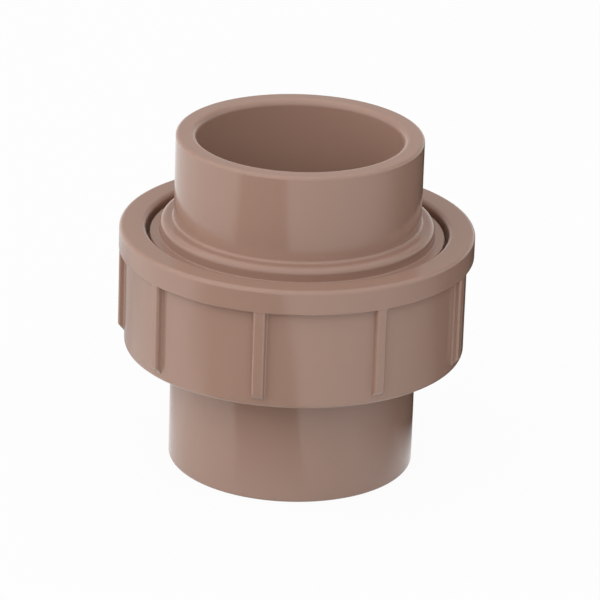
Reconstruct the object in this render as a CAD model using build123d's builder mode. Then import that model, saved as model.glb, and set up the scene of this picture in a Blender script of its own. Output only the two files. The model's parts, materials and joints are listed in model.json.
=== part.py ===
from build123d import *
from math import ceil
import os

# Pipe union for glued rigid plastic pipe, in millimetres.
# The origin is the centre of the lower rim, and +Z runs up the pipe's axis.
# Two socket ends meet at a flat face with an O-ring between them. A loose nut hangs on the flange of
# the upper end by its lip and screws on to the lower end.

# Pipe and sockets
pipe_diameter = 50.0
glue_gap = 0.15            # radial room for the pipe and its solvent cement
socket_wall = 5.15
socket_depth = 31.0        # how far the pipe goes in
stop_width = 2.15          # radial width of the land that stops the pipe
mouth_round = 1.6          # rounded lead-in at the inner edge of each rim
rim_round = 0.8            # outer edge of each rim

# Lower end
lower_land = 19.7          # from the socket's floor to the sealing face
skirt_wall = 4.0
web_floor = 5.05           # solid ring between the seal's groove and the hollow under it
skirt_round = 0.8

# Upper end
stop_thickness = 2.75
flange_thickness = 4.9
collar_step = 3.4          # upper collar beyond the socket
ledge_step = 2.5           # lower ledge beyond the collar
flange_step = 2.1          # flange beyond the ledge
ledge_rise = 3.35          # ledge above the flange
collar_rise = 3.6          # collar above the ledge
collar_round = 1.6
collar_root = 0.7          # hollow corner where the socket rises from the collar

# Seal
seal_height = 2.65         # squeezed height, which is the depth of the groove
seal_width = 4.2
groove_play = 0.2          # room for the seal on each side of its groove

# Nut
nut_overhang = 2.0         # nut below the lower end's skirt
lip_thickness = 5.05
lip_gap = 0.9              # radial gap between the lip and the ledge
lip_round = 1.2            # top inner edge of the lip
nut_wall = 2.15            # wall outside the bottom of the thread
rim_rise = 1.7             # rim beyond the nut's wall
rim_height = 6.2
nut_round = 1.0
rib_count = 9
rib_rise = 1.6
rib_width = 2.7
rib_round = 0.6            # long outer edges of a rib
rib_bottom_gap = 1.9       # plain band below the ribs
rib_end_round = 0.9        # below the outer face, where the rib slopes in to the wall
small_round = 0.4          # every edge and corner with no size of its own

# Screw thread, right-handed, with room all round it
pitch = 4.0
thread_depth = 1.2
thread_turns = 3.4
crest_width = 1.2          # flat on top of the lower end's ridge
flank_lean = 0.35          # how far each flank leans over the thread's depth
thread_top_gap = 2.1       # sealing face above the middle of the ridge's upper end
thread_run_in = 3.2        # plain skirt below the middle of the ridge's lower end
radial_play = 0.3
flank_play = 0.3
spare_turn = 0.25          # groove beyond the ridge's upper end
root_overlap = 0.4         # how deep a swept ridge starts below its surface
nut_lead_in = 1.2

# Small clearances
face_gap = 0.05            # between the two sealing faces, and between the lip and the flange
flange_play = 0.25         # flange inside the nut's thread

# Sizes that follow
bore_r = pipe_diameter / 2 + glue_gap
socket_r = bore_r + socket_wall
waterway_r = bore_r - stop_width
collar_r = socket_r + collar_step
ledge_r = collar_r + ledge_step
flange_r = ledge_r + flange_step
lip_r = ledge_r + lip_gap
nut_thread_r = flange_r + flange_play
nut_r = nut_thread_r + thread_depth + nut_wall
thread_r = nut_thread_r - radial_play
skirt_inner_r = thread_r - skirt_wall
seal_r = (waterway_r + thread_r) / 2

face_height = socket_depth + lower_land
hollow_top = face_height - seal_height - web_floor
thread_start = face_height - thread_top_gap - pitch * thread_turns
skirt_bottom = thread_start - thread_run_in

flange_bottom = face_height + face_gap
flange_top = flange_bottom + flange_thickness
ledge_top = flange_top + ledge_rise
collar_top = ledge_top + collar_rise
top_rim = flange_bottom + stop_thickness + socket_depth
lip_bottom = flange_top + face_gap
nut_top = lip_bottom + lip_thickness
nut_bottom = skirt_bottom - nut_overhang
rim_bottom = nut_top - rim_height
rib_bottom = nut_bottom + rib_bottom_gap


def round_corners(profile, size, *corners):
    """Round the profile's corners that lie at the given (radius, height) points."""
    fillet([profile.vertices().sort_by_distance(corner)[0] for corner in corners], radius=size)


def ridge_outline(start, foot_r, play):
    """Section of a thread ridge on the (radius, height) plane, grown by play on each flank."""
    foot_half = crest_width / 2 + flank_lean * (1 + root_overlap / thread_depth) + play
    crest_half = crest_width / 2 + play
    foot = foot_r - root_overlap
    crest = foot_r + thread_depth
    Polyline(
        (foot, start - foot_half),
        (crest, start - crest_half),
        (crest, start + crest_half),
        (foot, start + foot_half),
        close=True,
    )


# Lower end: socket, web, threaded skirt and the groove for the seal
with BuildPart() as threaded_end:
    with BuildSketch(Plane.XZ) as end_profile:
        with BuildLine():
            Polyline(
                (bore_r, 0),
                (socket_r, 0),
                (socket_r, hollow_top),
                (skirt_inner_r, hollow_top),
                (skirt_inner_r, skirt_bottom),
                (thread_r, skirt_bottom),
                (thread_r, face_height),
                (waterway_r, face_height),
                (waterway_r, socket_depth),
                (bore_r, socket_depth),
                close=True,
            )
        make_face()
        with Locations((seal_r, face_height)):
            Rectangle(seal_width + 2 * groove_play, 2 * seal_height, mode=Mode.SUBTRACT)
        round_corners(end_profile, mouth_round, (bore_r, 0))
        round_corners(end_profile, rim_round, (socket_r, 0))
        round_corners(end_profile, collar_root, (socket_r, hollow_top), (skirt_inner_r, hollow_top))
        round_corners(end_profile, skirt_round, (thread_r, skirt_bottom), (thread_r, face_height))
    revolve(axis=Axis.Z)
    with BuildLine() as thread_path:
        Helix(pitch, pitch * thread_turns, thread_r, center=(0, 0, thread_start))
    with BuildSketch(Plane.XZ) as thread_section:
        with BuildLine():
            ridge_outline(thread_start, thread_r, 0)
        make_face()
    sweep(sections=thread_section.sketch, path=thread_path.wire(), is_frenet=True)

# Seal: a round ring squeezed flat in its groove
with BuildPart() as o_ring:
    with BuildSketch(Plane.XZ):
        with Locations((seal_r, face_height - seal_height / 2)):
            SlotOverall(seal_width, seal_height)
    revolve(axis=Axis.Z)

# Upper end: flange, ledge, collar and socket
with BuildPart() as flanged_end:
    with BuildSketch(Plane.XZ) as tail_profile:
        with BuildLine():
            Polyline(
                (waterway_r, flange_bottom),
                (flange_r, flange_bottom),
                (flange_r, flange_top),
                (ledge_r, flange_top),
                (ledge_r, ledge_top),
                (collar_r, ledge_top),
                (collar_r, collar_top),
                (socket_r, collar_top),
                (socket_r, top_rim),
                (bore_r, top_rim),
                (bore_r, top_rim - socket_depth),
                (waterway_r, top_rim - socket_depth),
                close=True,
            )
        make_face()
        round_corners(tail_profile, mouth_round, (bore_r, top_rim))
        round_corners(tail_profile, rim_round, (socket_r, top_rim))
        round_corners(tail_profile, collar_round, (collar_r, collar_top))
        round_corners(tail_profile, collar_root, (socket_r, collar_top))
        round_corners(
            tail_profile,
            small_round,
            (collar_r, ledge_top),
            (ledge_r, ledge_top),
            (flange_r, flange_top),
        )
    revolve(axis=Axis.Z)

# One grip rib, standing on the nut's wall at +X
with BuildPart() as grip_rib:
    with BuildSketch(Plane.XZ):
        with BuildLine():
            Polyline(
                (nut_r - root_overlap, rib_bottom - root_overlap),
                (nut_r + rib_rise, rib_bottom + rib_rise),
                (nut_r + rib_rise, rim_bottom + root_overlap),
                (nut_r - root_overlap, rim_bottom + root_overlap),
                close=True,
            )
        make_face()
    extrude(amount=rib_width / 2, both=True)
    outer_face = grip_rib.faces().sort_by(Axis.X)[-1]
    fillet(outer_face.edges().sort_by(Axis.Z)[0], radius=rib_end_round)
    fillet(grip_rib.faces().sort_by(Axis.X)[-1].edges().filter_by(Axis.Z), radius=rib_round)

# Nut: wall with a rim, lip and ribs outside, and the thread cut inside
with BuildPart() as union_nut:
    with BuildSketch(Plane.XZ) as nut_profile:
        with BuildLine():
            Polyline(
                (nut_thread_r, nut_bottom),
                (nut_r, nut_bottom),
                (nut_r, rim_bottom),
                (nut_r + rim_rise, rim_bottom),
                (nut_r + rim_rise, nut_top),
                (lip_r, nut_top),
                (lip_r, lip_bottom),
                (nut_thread_r, lip_bottom),
                close=True,
            )
        make_face()
        round_corners(nut_profile, nut_round, (nut_r, nut_bottom), (nut_r + rim_rise, nut_top))
        round_corners(nut_profile, small_round, (nut_r, rim_bottom), (nut_r + rim_rise, rim_bottom))
        round_corners(nut_profile, lip_round, (lip_r, nut_top))
        round_corners(nut_profile, small_round, (lip_r, lip_bottom), (nut_thread_r, lip_bottom))
        chamfer(nut_profile.vertices().sort_by_distance((nut_thread_r, nut_bottom))[0], length=nut_lead_in)
    revolve(axis=Axis.Z)
    with PolarLocations(0, rib_count):
        add(grip_rib.part)
    turns_below = ceil((thread_run_in + nut_overhang + pitch / 2) / pitch)
    groove_start = thread_start - turns_below * pitch
    with BuildLine() as groove_path:
        Helix(pitch, pitch * (turns_below + thread_turns + spare_turn), nut_thread_r, center=(0, 0, groove_start))
    with BuildSketch(Plane.XZ) as groove_section:
        with BuildLine():
            ridge_outline(groove_start, nut_thread_r, flank_play)
        make_face()
    sweep(
        sections=groove_section.sketch,
        path=groove_path.wire(),
        is_frenet=True,
        mode=Mode.SUBTRACT,
    )

threaded_end.part.label = "threaded_end"
o_ring.part.label = "o_ring"
flanged_end.part.label = "flanged_end"
union_nut.part.label = "union_nut"

os.makedirs("parts", exist_ok=True)
export_step(threaded_end.part, "parts/threaded_end.step")
export_step(o_ring.part, "parts/o_ring.step")
export_step(flanged_end.part, "parts/flanged_end.step")
export_step(union_nut.part, "parts/union_nut.step")

turns_to_clear = (face_height - nut_bottom) / pitch
print(f"height {top_rim:.2f}, nut {2 * (nut_r + rim_rise):.2f} across, {turns_to_clear:.2f} turns to clear")
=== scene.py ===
import json
from math import ceil, cos, hypot, pi, radians, sin, tau

import bmesh
import bpy
from mathutils import Matrix, Vector


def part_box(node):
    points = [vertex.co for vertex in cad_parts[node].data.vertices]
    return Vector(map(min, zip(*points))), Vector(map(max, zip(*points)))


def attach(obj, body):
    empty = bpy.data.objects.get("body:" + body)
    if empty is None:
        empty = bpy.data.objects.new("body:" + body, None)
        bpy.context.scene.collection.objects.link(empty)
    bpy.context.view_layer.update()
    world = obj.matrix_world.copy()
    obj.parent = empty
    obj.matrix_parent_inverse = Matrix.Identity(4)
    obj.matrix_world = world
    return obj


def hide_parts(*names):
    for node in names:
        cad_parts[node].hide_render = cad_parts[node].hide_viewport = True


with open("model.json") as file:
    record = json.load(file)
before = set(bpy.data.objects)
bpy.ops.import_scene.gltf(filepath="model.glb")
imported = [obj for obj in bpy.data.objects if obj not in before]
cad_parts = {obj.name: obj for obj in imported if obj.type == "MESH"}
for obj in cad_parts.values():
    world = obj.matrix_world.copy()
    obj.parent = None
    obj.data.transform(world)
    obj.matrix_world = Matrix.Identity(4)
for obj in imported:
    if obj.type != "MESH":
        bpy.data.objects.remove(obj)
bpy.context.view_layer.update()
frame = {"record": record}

# ---------------------------------------------------------------------------------------------------
# Sizes, in metres. Places come from the frame; what the frame can't say is named here.

MM = 0.001
end_low, end_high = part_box("threaded_end")
tail_low, tail_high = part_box("flanged_end")
nut_low, nut_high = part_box("union_nut")
seal_low, seal_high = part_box("o_ring")
mounts = {mount["name"]: mount for mount in frame["record"]["mounts"]}

bore_r = mounts["upper_socket"]["dims"]["r_mm"] * MM
socket_wall = 5.15 * MM
socket_depth = 31.0 * MM
stop_width = 2.15 * MM
collar_step = 3.4 * MM
ledge_step = 2.5 * MM
waterway_r = bore_r - stop_width
socket_r = bore_r + socket_wall
collar_r = socket_r + collar_step
ledge_r = collar_r + ledge_step
flange_r = tail_high.x
flange_thickness = 4.9 * MM
ledge_rise = 3.35 * MM
collar_rise = 3.6 * MM

mouth_round = 1.6 * MM
rim_round = 0.8 * MM
collar_round = 1.6 * MM
collar_root = 0.7 * MM
small_round = 0.4 * MM
face_round = 0.3 * MM      # edges of the sealing faces
inner_round = 0.2 * MM     # corners inside, and the crests of the threads
groove_round = 0.15 * MM   # upper edges of the seal's groove

pitch = 4.0 * MM
thread_depth = 1.2 * MM
thread_turns = 3.4
thread_crest = 1.2 * MM
thread_lean = 0.35 * MM
thread_sink = 0.4 * MM
flank_play = 0.3 * MM
thread_top_gap = 2.1 * MM  # sealing face above the middle of the ridge's upper end
thread_run_in = 3.2 * MM   # plain skirt below the middle of its lower end
spare_turn = 0.25          # the nut's thread beyond the ridge's upper end
skirt_wall = 4.0 * MM
skirt_round = 0.8 * MM
web_height = 7.7 * MM      # sealing face above the hollow under the web
thread_r = end_high.x - thread_depth
thread_start = end_high.z - thread_top_gap - pitch * thread_turns
skirt_bottom = thread_start - thread_run_in
skirt_inner_r = thread_r - skirt_wall
hollow_top = end_high.z - web_height

groove_play = 0.2 * MM
seal_flash = 0.05 * MM     # the mould's flash line, in height and in reach
seal_flat = 0.2 * MM       # plain wall on each side of it
seal_inner_r = waterway_r + thread_r - seal_high.x

flange_play = 0.25 * MM
nut_wall = 2.15 * MM
rim_rise = 1.7 * MM
rim_height = 6.2 * MM
lip_gap = 0.9 * MM
lip_thickness = 5.05 * MM
nut_thread_r = flange_r + flange_play
nut_root_r = nut_thread_r + thread_depth
nut_r = nut_root_r + nut_wall
rim_r = nut_r + rim_rise
rim_bottom = nut_high.z - rim_height
lip_r = ledge_r + lip_gap
lip_bottom = nut_high.z - lip_thickness
nut_thread_top = thread_start + pitch * (thread_turns + spare_turn)
nut_thread_slope = 1.2 * MM    # height over which the wall closes in above the nut's thread
nut_ridge_short = 0.55         # turns by which the nut's ridge is shorter than its threaded wall
lip_round = 1.2 * MM
nut_round = 1.0 * MM
rib_count = 9
rib_rise = 1.6 * MM
rib_width = 2.7 * MM
rib_round = 0.6 * MM
rib_root = 0.4 * MM
rib_draft = 0.12 * MM
rib_bottom_gap = 1.9 * MM
rib_bottom = nut_low.z + rib_bottom_gap
rib_end_round = 0.9 * MM

AROUND = 288               # facets round each turned piece
COARSE_STEP = radians(18)  # turn between two points of a small rounded corner
FINE_STEP = radians(10)    # and of a larger one
HOLD = 0.06 * MM           # from a rounded corner to the extra point that keeps its flat neighbour flat
SEAM = 1e-7                # points closer than this are one
THREAD_FACETS = 150        # facets in one turn of a thread
THREAD_RUN_OUT = 0.05      # share of a turn in which a ridge rises to its full height
PLAIN_STEPS = 14           # columns between a rib and the middle of the gap beside it
SHARP_ANGLE = radians(32)


# ---------------------------------------------------------------------------------------------------
# Node trees: expressions on wires add their Math nodes, and any other node comes from Bench.add

class Wire:
    """One output socket of a tree that is being built."""

    def __init__(self, bench, socket):
        self.bench = bench
        self.socket = socket

    def out(self, name):
        return Wire(self.bench, self.socket.node.outputs[name])

    def _math(self, operation, first, second):
        return self.bench.add("ShaderNodeMath", {"operation": operation}, {0: first, 1: second})

    def __add__(self, other):
        return self._math("ADD", self, other)

    def __radd__(self, other):
        return self._math("ADD", other, self)

    def __sub__(self, other):
        return self._math("SUBTRACT", self, other)

    def __rsub__(self, other):
        return self._math("SUBTRACT", other, self)

    def __mul__(self, other):
        return self._math("MULTIPLY", self, other)

    def __rmul__(self, other):
        return self._math("MULTIPLY", other, self)

    def __truediv__(self, other):
        return self._math("DIVIDE", self, other)

    def __mod__(self, other):
        return self._math("MODULO", self, other)


class Bench:
    """A node tree and the one way of putting nodes on it."""

    def __init__(self, tree):
        self.tree = tree

    def add(self, kind, settings=None, sockets=None):
        node = self.tree.nodes.new(kind)
        for name, value in (settings or {}).items():
            setattr(node, name, value)
        for key, value in (sockets or {}).items():
            if isinstance(value, Wire):
                self.tree.links.new(value.socket, node.inputs[key])
            else:
                node.inputs[key].default_value = value
        return Wire(self, node.outputs[0]) if node.outputs else node


# ---------------------------------------------------------------------------------------------------
# Outlines: (radius, height, edge) points, where edge is 1 on a rounded outside corner

def corner_points(before, here, after, size):
    """Points of one rounded corner of an anticlockwise outline, with a holding point on each side."""
    before, here, after = Vector(before), Vector(here), Vector(after)
    to_before = (before - here).normalized()
    to_after = (after - here).normalized()
    turn = pi - to_before.angle(to_after)
    reach = size * (1 - cos(turn)) / sin(turn)
    start = here + to_before * reach
    finish = here + to_after * reach
    middle = here + (to_before + to_after).normalized() * hypot(size, reach)
    outside = to_before.x * to_after.y - to_before.y * to_after.x < 0
    sweep = turn if outside else -turn
    steps = ceil(turn / (FINE_STEP if size > small_round else COARSE_STEP))
    points = [(*(start + to_before * HOLD), 0.0)]
    for step in range(steps + 1):
        spoke = Matrix.Rotation(sweep * step / steps, 2) @ (start - middle)
        points.append((*(middle + spoke), float(outside)))
    points.append((*(finish + to_after * HOLD), 0.0))
    return points


def rounded(corners):
    """Points of an outline whose corners are given as (radius, height, rounding)."""
    points = []
    for number, (r, z, size) in enumerate(corners):
        if size:
            following = corners[(number + 1) % len(corners)]
            points += corner_points(corners[number - 1][:2], (r, z), following[:2], size)
        else:
            points.append((r, z, 0.0))
    return points


def with_edges(name, positions, faces, edges):
    """A mesh that carries the edge value of each of its points."""
    mesh = bpy.data.meshes.new(name)
    mesh.from_pydata(positions, [], faces)
    mesh.attributes.new("edge", "FLOAT", "POINT").data.foreach_set("value", edges)
    return mesh


# ---------------------------------------------------------------------------------------------------
# Geometry Nodes: an outline turned round the axis, a ridge wound round it, a slice repeated round it

def new_geometry_tree(name, inputs):
    """An empty tree with the named inputs, each (name, socket type)."""
    tree = bpy.data.node_groups.new(name, "GeometryNodeTree")
    tree.interface.new_socket("Geometry", in_out="INPUT", socket_type="NodeSocketGeometry")
    for label, kind in inputs:
        tree.interface.new_socket(label, in_out="INPUT", socket_type=kind)
    tree.interface.new_socket("Geometry", in_out="OUTPUT", socket_type="NodeSocketGeometry")
    bench = Bench(tree)
    return bench, bench.add("NodeGroupInput")


def close_tree(bench, given, geometry):
    """Ends a tree: seams merged, instances made real, the material set."""
    merged = bench.add("GeometryNodeMergeByDistance", {}, {"Geometry": geometry, "Distance": SEAM})
    real = bench.add("GeometryNodeRealizeInstances", {}, {"Geometry": merged})
    painted = bench.add(
        "GeometryNodeSetMaterial", {}, {"Geometry": real, "Material": given.out("Material")}
    )
    bench.add("NodeGroupOutput", {}, {"Geometry": painted})
    return bench.tree


def turning_tree(name, wound):
    """Turns the input mesh's points round Z. A wound outline also climbs, and thins out at its ends."""
    inputs = [("Facets", "NodeSocketInt"), ("Turns", "NodeSocketFloat"), ("Material", "NodeSocketMaterial")]
    if wound:
        inputs += [
            ("Pitch", "NodeSocketFloat"),
            ("First angle", "NodeSocketFloat"),
            ("Foot radius", "NodeSocketFloat"),
            ("Run-out", "NodeSocketFloat"),
        ]
    bench, given = new_geometry_tree(name, inputs)
    outline = given.out("Geometry")
    facets = given.out("Facets")
    count = bench.add("GeometryNodeAttributeDomainSize", {"component": "MESH"}, {"Geometry": outline})
    columns = facets + 1
    sheet = bench.add("GeometryNodeMeshGrid", {}, {"Vertices X": count + 1, "Vertices Y": columns})
    index = bench.add("GeometryNodeInputIndex")
    row = bench.add("ShaderNodeMath", {"operation": "FLOOR"}, {0: index / columns}) % count
    share = (index % columns) / facets

    def from_outline(data_type, value):
        return bench.add(
            "GeometryNodeSampleIndex",
            {"data_type": data_type, "domain": "POINT"},
            {"Geometry": outline, "Value": value, "Index": row},
        )

    place = bench.add(
        "ShaderNodeSeparateXYZ",
        {},
        {"Vector": from_outline("FLOAT_VECTOR", bench.add("GeometryNodeInputPosition"))},
    )
    radius, height = place.out("X"), place.out("Z")
    turned = share * given.out("Turns")
    angle = turned * tau
    if wound:
        run_out = given.out("Run-out")
        to_end = given.out("Turns") - turned
        nearest = bench.add("ShaderNodeMath", {"operation": "MINIMUM"}, {0: turned, 1: to_end})
        full = bench.add("ShaderNodeMath", {"operation": "MINIMUM"}, {0: nearest / run_out, 1: 1.0})
        foot = given.out("Foot radius")
        radius = foot + (radius - foot) * full
        height = height + turned * given.out("Pitch")
        angle = angle + given.out("First angle")
    position = bench.add(
        "ShaderNodeCombineXYZ",
        {},
        {
            "X": radius * bench.add("ShaderNodeMath", {"operation": "COSINE"}, {0: angle}),
            "Y": radius * bench.add("ShaderNodeMath", {"operation": "SINE"}, {0: angle}),
            "Z": height,
        },
    )
    edge = bench.add("GeometryNodeInputNamedAttribute", {"data_type": "FLOAT"}, {"Name": "edge"})
    shaped = bench.add("GeometryNodeSetPosition", {}, {"Geometry": sheet, "Position": position})
    kept = bench.add(
        "GeometryNodeStoreNamedAttribute",
        {"data_type": "FLOAT", "domain": "POINT"},
        {"Geometry": shaped, "Name": "edge", "Value": from_outline("FLOAT", edge)},
    )
    return close_tree(bench, given, kept)


def repeating_tree():
    """Repeats the input mesh round Z, Count times."""
    bench, given = new_geometry_tree(
        "repeat round the axis", [("Count", "NodeSocketInt"), ("Material", "NodeSocketMaterial")]
    )
    count = given.out("Count")
    places = bench.add("GeometryNodePoints", {}, {"Count": count})
    angle = bench.add("GeometryNodeInputIndex") * tau / count
    turn = bench.add("ShaderNodeCombineXYZ", {}, {"Z": angle})
    copies = bench.add(
        "GeometryNodeInstanceOnPoints",
        {},
        {"Points": places, "Instance": given.out("Geometry"), "Rotation": turn},
    )
    real = bench.add("GeometryNodeRealizeInstances", {}, {"Geometry": copies})
    return close_tree(bench, given, real)


def grown(mesh, tree, values):
    """The plain mesh that a tree makes from a mesh, with its named inputs set first."""
    holder = bpy.data.objects.new(mesh.name, mesh)
    bpy.context.scene.collection.objects.link(holder)
    modifier = holder.modifiers.new("growth", "NODES")
    modifier.node_group = tree
    for item in tree.interface.items_tree:
        if item.in_out == "INPUT" and item.name in values:
            modifier[item.identifier] = values[item.name]
    seen = holder.evaluated_get(bpy.context.evaluated_depsgraph_get())
    result = bpy.data.meshes.new_from_object(seen)
    bpy.data.objects.remove(holder)
    return result


# ---------------------------------------------------------------------------------------------------
# Finishes. Colours are linear light, and the scale of a pattern is in waves to the metre.

PLASTIC_LIGHT = (0.366, 0.2265, 0.1725, 1)
PLASTIC_DARK = (0.350, 0.2165, 0.164, 1)
PLASTIC_RUBBED = (0.42, 0.275, 0.215, 1)
PLASTIC_ROUGHNESS = 0.15
PLASTIC_IOR = 1.55
PLASTIC_RELIEF = 0.03 * MM
CLOUD_SCALE = 38.0
STREAK_SCALE = 260.0
STREAK_STRETCH = (1.0, 1.0, 0.25)   # streaks are longer along the axis
PATCH_SCALE = 320.0
GRAIN_SCALE = 2600.0

RUBBER_BLACK = (0.010, 0.010, 0.010, 1)
RUBBER_BLOOM = (0.035, 0.034, 0.033, 1)
RUBBER_ROUGHNESS = 0.5
RUBBER_RELIEF = 0.05 * MM
BLOOM_SCALE = 180.0
SKIN_SCALE = 3400.0

WHITE = (1, 1, 1, 1)
FLOOR_GREY = (0.65, 0.65, 0.65, 1)


def new_material(name):
    material = bpy.data.materials.new(name)
    material.use_nodes = True
    material.node_tree.nodes.clear()
    return material, Bench(material.node_tree)


def noise(bench, place, scale, detail):
    return bench.add("ShaderNodeTexNoise", {}, {"Vector": place, "Scale": scale, "Detail": detail})


def blended(bench, share, first, second):
    """Colour between two colours."""
    mix = bench.add("ShaderNodeMix", {"data_type": "RGBA"}, {0: share, 6: first, 7: second})
    return mix.out(2)


def moulded_plastic():
    """Brown rigid plastic: faint flow clouds and streaks, soft sheen, edges rubbed by handling."""
    material, bench = new_material("moulded_plastic")
    place = bench.add("ShaderNodeTexCoord").out("Object")
    along = bench.add("ShaderNodeMapping", {}, {"Vector": place, "Scale": STREAK_STRETCH})
    clouds = noise(bench, place, CLOUD_SCALE, 3.0)
    streaks = noise(bench, along, STREAK_SCALE, 4.0)
    grain = noise(bench, place, GRAIN_SCALE, 2.0)
    edge = bench.add("ShaderNodeAttribute", {"attribute_name": "edge"}).out("Fac")
    patches = noise(bench, place, PATCH_SCALE, 3.0)
    rubbed = bench.add(
        "ShaderNodeMath", {"operation": "MULTIPLY", "use_clamp": True}, {0: edge, 1: patches * 2.2 - 0.55}
    )
    shade = bench.add(
        "ShaderNodeMath",
        {"operation": "ADD", "use_clamp": True},
        {0: (clouds - 0.5) * 0.6 + (streaks - 0.5) * 0.3, 1: 0.5},
    )
    body = blended(bench, shade, PLASTIC_DARK, PLASTIC_LIGHT)
    colour = blended(bench, rubbed * 0.15, body, PLASTIC_RUBBED)
    roughness = PLASTIC_ROUGHNESS + (patches - 0.5) * 0.05 + (grain - 0.5) * 0.03 + rubbed * 0.06
    relief = clouds * 0.6 + streaks * 0.12 + grain * 0.05
    bump = bench.add(
        "ShaderNodeBump", {}, {"Height": relief, "Strength": 0.15, "Distance": PLASTIC_RELIEF}
    )
    bench.add(
        "ShaderNodeBsdfPrincipled",
        {},
        {"Base Color": colour, "Roughness": roughness, "IOR": PLASTIC_IOR, "Normal": bump},
    )
    end_material(bench)
    return material


def seal_rubber():
    """Black rubber with a faint bloom and a fine skin."""
    material, bench = new_material("seal_rubber")
    place = bench.add("ShaderNodeTexCoord").out("Object")
    bloom = noise(bench, place, BLOOM_SCALE, 4.0)
    skin = noise(bench, place, SKIN_SCALE, 2.0)
    colour = blended(bench, bloom, RUBBER_BLACK, RUBBER_BLOOM)
    bump = bench.add("ShaderNodeBump", {}, {"Height": skin, "Strength": 0.4, "Distance": RUBBER_RELIEF})
    bench.add(
        "ShaderNodeBsdfPrincipled",
        {},
        {"Base Color": colour, "Roughness": RUBBER_ROUGHNESS + bloom * 0.15, "Normal": bump},
    )
    end_material(bench)
    return material


def end_material(bench):
    """Joins the last shader placed to the material's output."""
    shader = bench.tree.nodes[-1].outputs[0]
    bench.add("ShaderNodeOutputMaterial", {}, {"Surface": Wire(bench, shader)})


# ---------------------------------------------------------------------------------------------------
# Pieces

plastic = moulded_plastic()
rubber = seal_rubber()
turn_round = turning_tree("turn round the axis", wound=False)
wind_round = turning_tree("wind round the axis", wound=True)
repeat_round = repeating_tree()


def turned(name, corners, material):
    """A solid turned from its outline."""
    points = rounded(corners)
    outline = with_edges(name, [(r, 0, z) for r, z, edge in points], [], [edge for r, z, edge in points])
    return grown(outline, turn_round, {"Facets": AROUND, "Turns": 1.0, "Material": material})


def wound(name, corners, first_angle, start, turns, foot_r):
    """A thread ridge: its outline, centred on height 0, wound up from start."""
    points = rounded(corners)
    places = [(r, 0, z + start) for r, z, edge in points]
    outline = with_edges(name, places, [], [edge for r, z, edge in points])
    values = {
        "Facets": round(turns * THREAD_FACETS),
        "Turns": turns,
        "Material": plastic,
        "Pitch": pitch,
        "First angle": first_angle,
        "Foot radius": foot_r,
        "Run-out": THREAD_RUN_OUT,
    }
    return grown(outline, wind_round, values)


def finished_piece(name, meshes, body, nodes):
    """One object from closed shells: open ends capped, faces outward, hard corners kept sharp."""
    shape = bmesh.new()
    for mesh in meshes:
        shape.from_mesh(mesh)
    loose_ends = [edge for edge in shape.edges if edge.is_boundary]
    bmesh.ops.holes_fill(shape, edges=loose_ends, sides=0)
    bmesh.ops.recalc_face_normals(shape, faces=shape.faces)
    for face in shape.faces:
        face.smooth = True
    for edge in shape.edges:
        edge.smooth = len(edge.link_faces) != 2 or edge.calc_face_angle() < SHARP_ANGLE
    result = meshes[0]
    shape.to_mesh(result)
    shape.free()
    result.name = name
    piece = bpy.data.objects.new(name, result)
    bpy.context.scene.collection.objects.link(piece)
    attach(piece, body)
    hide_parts(*nodes)


def threaded_end():
    """The lower socket end, with its skirt, sealing face, groove and thread."""
    groove_outer = seal_high.x + groove_play
    groove_inner = seal_inner_r - groove_play
    face = end_high.z
    body = turned(
        "threaded_end",
        [
            (bore_r, end_low.z, mouth_round),
            (socket_r, end_low.z, rim_round),
            (socket_r, hollow_top, collar_root),
            (skirt_inner_r, hollow_top, collar_root),
            (skirt_inner_r, skirt_bottom, inner_round),
            (thread_r, skirt_bottom, skirt_round),
            (thread_r, face, skirt_round),
            (groove_outer, face, groove_round),
            (groove_outer, seal_low.z, inner_round),
            (groove_inner, seal_low.z, inner_round),
            (groove_inner, face, groove_round),
            (waterway_r, face, face_round),
            (waterway_r, end_low.z + socket_depth, inner_round),
            (bore_r, end_low.z + socket_depth, inner_round),
        ],
        plastic,
    )
    foot = thread_crest / 2 + thread_lean * (1 + thread_sink / thread_depth)
    crest = thread_crest / 2
    inner, outer = thread_r - thread_sink, thread_r + thread_depth
    ridge = wound(
        "threaded_end_ridge",
        [
            (inner, -foot, 0),
            (outer, -crest, inner_round),
            (outer, crest, inner_round),
            (inner, foot, 0),
        ],
        0.0,
        thread_start,
        thread_turns,
        inner,
    )
    finished_piece(
        "threaded_end_body", [body, ridge], "threaded_end", ["threaded_end"]
    )


def seal():
    """The O-ring, squeezed flat in its groove, with the mould's flash line inside and out."""
    half = (seal_high.z - seal_low.z) / 2
    middle = seal_low.z + half
    outer, inner = seal_high.x - seal_flash, seal_inner_r + seal_flash
    end_round = half - seal_flat
    ring = turned(
        "o_ring",
        [
            (outer, seal_low.z, end_round),
            (outer, middle - seal_flash, 0),
            (outer + seal_flash, middle, 0),
            (outer, middle + seal_flash, 0),
            (outer, seal_high.z, end_round),
            (inner, seal_high.z, end_round),
            (inner, middle + seal_flash, 0),
            (inner - seal_flash, middle, 0),
            (inner, middle - seal_flash, 0),
            (inner, seal_low.z, end_round),
        ],
        rubber,
    )
    finished_piece("seal_ring", [ring], "threaded_end", ["o_ring"])


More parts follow.
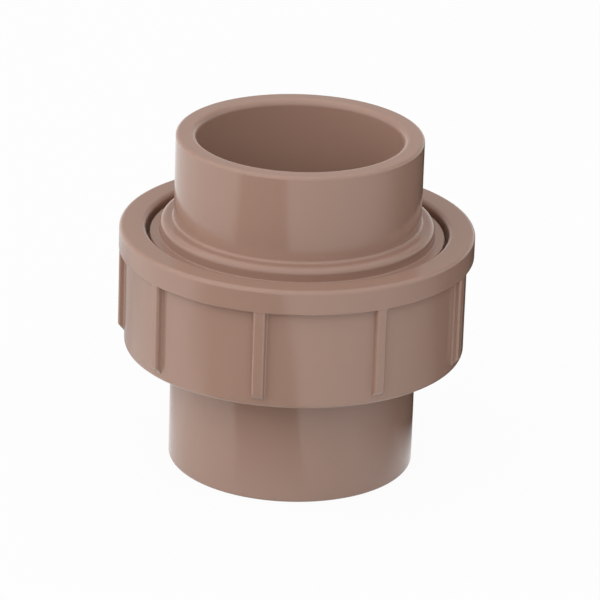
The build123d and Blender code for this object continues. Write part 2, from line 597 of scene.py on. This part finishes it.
def flanged_end():
    """The upper socket end, with the collar, ledge and flange that the nut holds."""
    flange_top = tail_low.z + flange_thickness
    ledge_top = flange_top + ledge_rise
    collar_top = ledge_top + collar_rise
    floor = tail_high.z - socket_depth
    body = turned(
        "flanged_end",
        [
            (waterway_r, tail_low.z, face_round),
            (flange_r, tail_low.z, face_round),
            (flange_r, flange_top, small_round),
            (ledge_r, flange_top, inner_round),
            (ledge_r, ledge_top, small_round),
            (collar_r, ledge_top, small_round),
            (collar_r, collar_top, collar_round),
            (socket_r, collar_top, collar_root),
            (socket_r, tail_high.z, rim_round),
            (bore_r, tail_high.z, mouth_round),
            (bore_r, floor, inner_round),
            (waterway_r, floor, inner_round),
        ],
        plastic,
    )
    finished_piece("flanged_end_body", [body], "flanged_end", ["flanged_end"])


def rib_side():
    """Columns of one slice of the nut, as (angle, share of the rib's height, edge)."""
    half = rib_width / 2
    far = nut_r * pi / rib_count
    corners = [
        (far, 0, 0),
        (half + rib_draft, 0, rib_root),
        (half, rib_rise, rib_round),
        (0, rib_rise, 0),
    ]
    side = rounded(corners)
    wide = side[1][0]
    steps = [(far - (far - wide) * step / PLAIN_STEPS, 0.0, 0.0) for step in range(1, PLAIN_STEPS)]
    side = side[:1] + steps + side[1:]
    columns = [(across / nut_r, rise / rib_rise, edge) for across, rise, edge in side]
    left = [(-angle, share, edge) for angle, share, edge in columns[:-1]]
    return left + columns[::-1]


def nut_slice():
    """One rib's share of the nut: its closed outline carried across, with the rib raised on it."""
    low, high = nut_low.z, nut_high.z
    lower = rounded_part(
        [
            (nut_root_r, rib_bottom, 0),
            (nut_root_r, low, inner_round),
            (nut_r, low, nut_round),
            (nut_r, rib_bottom, 0),
        ]
    )
    end = rounded_part(
        [
            (nut_r, low, 0),
            (nut_r, rib_bottom, rib_root),
            (nut_r + rib_rise, rib_bottom + rib_rise, rib_end_round),
            (nut_r + rib_rise, rim_bottom, 0),
        ]
    )
    upper = rounded_part(
        [
            (nut_r, rib_bottom, 0),
            (nut_r, rim_bottom, small_round),
            (rim_r, rim_bottom, small_round),
            (rim_r, high, nut_round),
            (lip_r, high, lip_round),
            (lip_r, lip_bottom, small_round),
            (nut_thread_r, lip_bottom, small_round),
            (nut_thread_r, nut_thread_top + nut_thread_slope, inner_round),
            (nut_root_r, nut_thread_top, inner_round),
            (nut_root_r, low, 0),
        ]
    )
    rows = [(r, z, edge, 0.0) for r, z, edge in lower]
    rows += [(nut_r, z, edge, (r - nut_r) / rib_rise) for r, z, edge in end]
    rows += [(r, z, edge, 1.0 if z <= rim_bottom + small_round else 0.0) for r, z, edge in upper]
    columns = rib_side()
    positions, edges = [], []
    for angle, share, rib_edge in columns:
        for r, z, edge, reach in rows:
            free = 1 - (r - nut_r) / (rim_r - nut_r)
            on_outside = r >= nut_r and reach > 0
            out = r + rib_rise * share * reach * free if on_outside else r
            positions.append((out * cos(angle), out * sin(angle), z))
            edges.append(max(edge * share, rib_edge * reach) if on_outside else edge)
    height = len(rows)
    faces = []
    for column in range(len(columns) - 1):
        for row in range(height):
            above = (row + 1) % height
            faces.append(
                (
                    column * height + row,
                    (column + 1) * height + row,
                    (column + 1) * height + above,
                    column * height + above,
                )
            )
    return with_edges("nut_slice", positions, faces, edges)


def rounded_part(corners):
    """Points of an open run's inner corners. Its two end corners only set the direction."""
    points = []
    for before, here, after in zip(corners, corners[1:], corners[2:]):
        if here[2]:
            points += corner_points(before[:2], here[:2], after[:2], here[2])
        else:
            points.append((here[0], here[1], 0.0))
    return points


def union_nut():
    """The ring nut: ribbed wall, rim, lip and the ridge of its inside thread."""
    wall = grown(nut_slice(), repeat_round, {"Count": rib_count, "Material": plastic})
    land_foot = pitch / 2 - thread_crest / 2 - flank_play
    land_crest = land_foot - thread_lean
    inner, outer = nut_thread_r, nut_root_r + thread_sink
    turns = (nut_thread_top - nut_low.z) / pitch - nut_ridge_short
    first = thread_start - pitch / 2
    while first > nut_low.z + pitch:
        first -= pitch
    ridge = wound(
        "union_nut_ridge",
        [
            (inner, -land_crest, inner_round),
            (outer, -land_foot, 0),
            (outer, land_foot, 0),
            (inner, land_crest, inner_round),
        ],
        0.0,
        first,
        turns,
        outer,
    )
    finished_piece("union_nut_body", [wall, ridge], "union_nut", ["union_nut"])


threaded_end()
seal()
flanged_end()
union_nut()


# ---------------------------------------------------------------------------------------------------
# Stage: camera, floor, lamps and the dark cards that shape the reflections

VIEW_TURN = radians(21.0)       # camera's turn round Z from looking along +Y
VIEW_RISE = radians(21.85)      # camera's height above the horizon
VIEW_ROLL = radians(1.95)       # camera's lean to one side
VIEW_DISTANCE = 1.1
VIEW_AIM = Vector((0, 0, 0.0425))
LENS = 267.9                    # focal length in mm
SHIFT = (0.0083, -0.0087)       # picture moved across and up, as a share of its width

FLOOR_SIZE = 12
FLOOR_WHITE = 0.95       # share of plain white in the floor where it is seen directly
AMBIENT = 0.3            # light that comes evenly from all round
CARD_HEIGHT = 0.5 * MM   # above the floor
BACKDROP = 3.0           # distance of the upright card behind the object
LAMP_DISTANCE = 1.0


def toward(turn, rise):
    """Direction seen from the axis, turned from the camera's side and raised from the horizon."""
    across = VIEW_TURN + turn
    return Vector((sin(across) * cos(rise), -cos(across) * cos(rise), sin(rise)))


def put_camera():
    data = bpy.data.cameras.new("camera")
    data.sensor_width = 36
    data.lens = LENS
    data.shift_x, data.shift_y = SHIFT
    data.clip_start = 0.05
    camera = bpy.data.objects.new("camera", data)
    bpy.context.scene.collection.objects.link(camera)
    back = toward(0, VIEW_RISE)
    facing = back.to_track_quat("Z", "Y").to_matrix()
    camera.matrix_world = (
        Matrix.Translation(VIEW_AIM + back * VIEW_DISTANCE)
        @ facing.to_4x4()
        @ Matrix.Rotation(VIEW_ROLL, 4, "Z")
    )
    bpy.context.scene.camera = camera


def lamp(name, turn, rise, width, height, watts):
    """A soft box that faces the object and leaves no glare of its own. Turn and rise are in degrees."""
    data = bpy.data.lights.new(name, "AREA")
    data.shape = "RECTANGLE"
    data.size = width
    data.size_y = height
    data.energy = watts
    box = bpy.data.objects.new(name, data)
    bpy.context.scene.collection.objects.link(box)
    box.visible_glossy = False
    out = toward(radians(turn), radians(rise))
    facing = out.to_track_quat("Z", "Y").to_matrix()
    box.matrix_world = Matrix.Translation(VIEW_AIM + out * LAMP_DISTANCE) @ facing.to_4x4()


def seen_directly(bench):
    """1 where a ray comes from the camera, from a gloss or through glass, and 0 elsewhere."""
    path = bench.add("ShaderNodeLightPath")
    higher = {"operation": "MAXIMUM"}
    gloss = bench.add("ShaderNodeMath", higher, {0: path, 1: path.out("Is Glossy Ray")})
    return bench.add("ShaderNodeMath", higher, {0: gloss, 1: path.out("Is Transmission Ray")})


def put_floor():
    """A plain white floor, clear from underneath."""
    material, bench = new_material("floor")
    lit = bench.add("ShaderNodeBsdfDiffuse", {}, {"Color": FLOOR_GREY})
    white = bench.add("ShaderNodeEmission", {}, {"Color": WHITE, "Strength": 1.0})
    top = bench.add("ShaderNodeMixShader", {}, {0: seen_directly(bench) * FLOOR_WHITE, 1: lit, 2: white})
    underneath = bench.add("ShaderNodeNewGeometry").out("Backfacing")
    clear = bench.add("ShaderNodeBsdfTransparent")
    bench.add("ShaderNodeMixShader", {}, {0: underneath, 1: top, 2: clear})
    end_material(bench)
    bpy.ops.mesh.primitive_plane_add(size=FLOOR_SIZE)
    floor = bpy.context.object
    floor.name = "floor"
    floor.data.materials.append(material)
    floor.visible_glossy = False


def put_world():
    world = bpy.data.worlds.new("studio")
    world.use_nodes = True
    world.node_tree.nodes.clear()
    bench = Bench(world.node_tree)
    strength = AMBIENT + (1 - AMBIENT) * seen_directly(bench)
    bench.add("ShaderNodeBackground", {}, {"Color": WHITE, "Strength": strength})
    shader = world.node_tree.nodes[-1].outputs[0]
    bench.add("ShaderNodeOutputWorld", {}, {"Surface": Wire(bench, shader)})
    bpy.context.scene.world = world


def put_card(name, *sides):
    """A card that only reflections see, spread between its sides.

    Each side is a run of (turn from the camera in degrees, distance, height, brightness).
    """
    material, bench = new_material(name)
    brightness = bench.add("ShaderNodeAttribute", {"attribute_name": "brightness"}).out("Fac")
    bench.add("ShaderNodeEmission", {}, {"Color": WHITE, "Strength": brightness})
    end_material(bench)
    positions, levels = [], []
    for side in sides:
        for turn, distance, height, level in side:
            place = toward(radians(turn), 0) * distance
            positions.append((place.x, place.y, height))
            levels.append(level)
    count = len(sides[0])
    faces = []
    for start in range(0, count * (len(sides) - 1), count):
        for step in range(start, start + count - 1):
            faces.append((step, step + 1, step + count + 1, step + count))
    mesh = bpy.data.meshes.new(name)
    mesh.from_pydata(positions, [], faces)
    mesh.attributes.new("brightness", "FLOAT", "POINT").data.foreach_set("value", levels)
    mesh.materials.append(material)
    card = bpy.data.objects.new(name, mesh)
    bpy.context.scene.collection.objects.link(card)
    card.visible_camera = False
    card.visible_diffuse = False
    card.visible_shadow = False
    card.visible_transmission = False


def on_floor(*run):
    """One side of a card that lies on the floor, from a run of (turn, distance, brightness)."""
    return [(turn, distance, CARD_HEIGHT, level) for turn, distance, level in run]


def upright(turn):
    """One side of the card behind the object: bright near the floor and grey above."""
    return [(turn, BACKDROP, height, level) for height, level in ((0.2, 1), (1.0, 0.4), (3.0, 0.4))]


put_camera()
put_floor()
put_world()
lamp("left", turn=-84, rise=20, width=1.4, height=1.1, watts=7.5)
lamp("front", turn=-3, rise=46, width=1.5, height=1.2, watts=7.45)
lamp("right", turn=85, rise=38, width=1.2, height=1.0, watts=1.1)
lamp("back", turn=180, rise=45, width=1.4, height=1.1, watts=4.5)

# Brightness 1 is the white that surrounds the object in its reflections, and 0 is black.
put_card(
    "front_card",
    on_floor(
        (-30, 0.031, 1), (-38, 0.055, 1), (-46, 0.085, 1), (-70, 0.147, 1), (-53, 0.234, 1), (-50, 0.6, 1)
    ),
    on_floor(
        (-29, 0.031, 1), (-37, 0.055, 0.5), (-45, 0.085, 0), (-52, 0.147, 0), (-52, 0.234, 0), (-49, 0.6, 0)
    ),
    on_floor(
        (13, 0.031, 1), (8, 0.055, 0.5), (5, 0.085, 0), (-3, 0.15, 0), (-10, 0.236, 0), (-22, 0.6, 0)
    ),
    on_floor((14, 0.031, 1), (9, 0.055, 1), (6, 0.085, 1), (4, 0.15, 1), (-9, 0.236, 1), (-21, 0.6, 1)),
)
put_card(
    "left_card",
    on_floor((-95, 0.04, 1), (-95, 0.07, 1), (-95, 0.15, 1), (-95, 0.2, 1)),
    on_floor((-125, 0.04, 1), (-125, 0.07, 0.5), (-125, 0.15, 0.5), (-125, 0.2, 1)),
    on_floor((-170, 0.04, 1), (-170, 0.07, 0.5), (-170, 0.15, 0.5), (-170, 0.2, 1)),
)
put_card(
    "right_card",
    on_floor((45, 0.035, 1), (47, 0.08, 1), (50, 0.13, 1), (53, 0.2, 1), (55, 0.6, 1)),
    on_floor((80, 0.035, 1), (89, 0.06, 0), (98, 0.13, 0), (100, 0.2, 0), (100, 0.6, 0)),
    on_floor((178, 0.035, 1), (178, 0.06, 0), (178, 0.13, 0), (178, 0.2, 0), (178, 0.6, 0)),
)
put_card("back_card", upright(110), upright(180), upright(250))

bpy.context.scene.view_settings.view_transform = "Standard"
